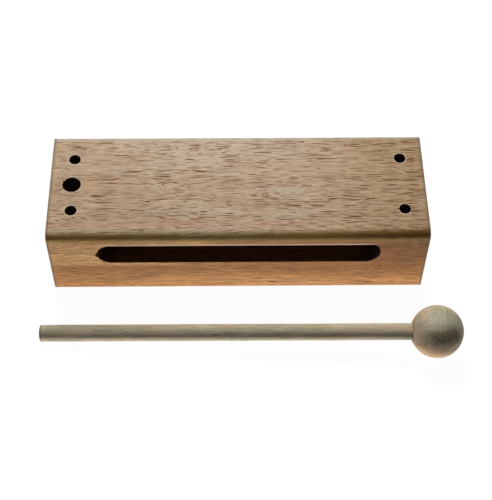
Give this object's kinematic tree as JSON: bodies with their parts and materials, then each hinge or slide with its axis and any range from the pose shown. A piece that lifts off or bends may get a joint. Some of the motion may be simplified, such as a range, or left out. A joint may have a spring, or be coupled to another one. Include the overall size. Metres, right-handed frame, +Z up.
{
  "type": "wood block",
  "caption": "Slotted hardwood block, struck on its thin roof above a routed sound slot, with drilled fixing holes and a loose ball-headed wooden mallet.",
  "frame": {"origin": "centre of the block's underside", "axes": "+X along the block's length and grain, away from the end that has the stow hole; the sound slot opens towards -Y; +Z up through the struck roof"},
  "size_m": [0.1999, 0.107, 0.042],
  "materials": {
    "block_wood": "sanded and thinly sealed open-pored hardwood, satin",
    "stick_wood": "bare, fine-grained dowel, matt",
    "head_wood": "bare turned hardwood, matt"
  },
  "bodies": {
    "block": {"block_body": "block_wood"},
    "mallet": {"mallet_stick": "stick_wood", "mallet_head": "head_wood"}
  },
  "joints": [
    {"name": "mallet_lift", "type": "slide", "parent": "block", "child": "mallet", "axis": [0, 0, 1], "range_m": [0, 0.1]}
  ]
}
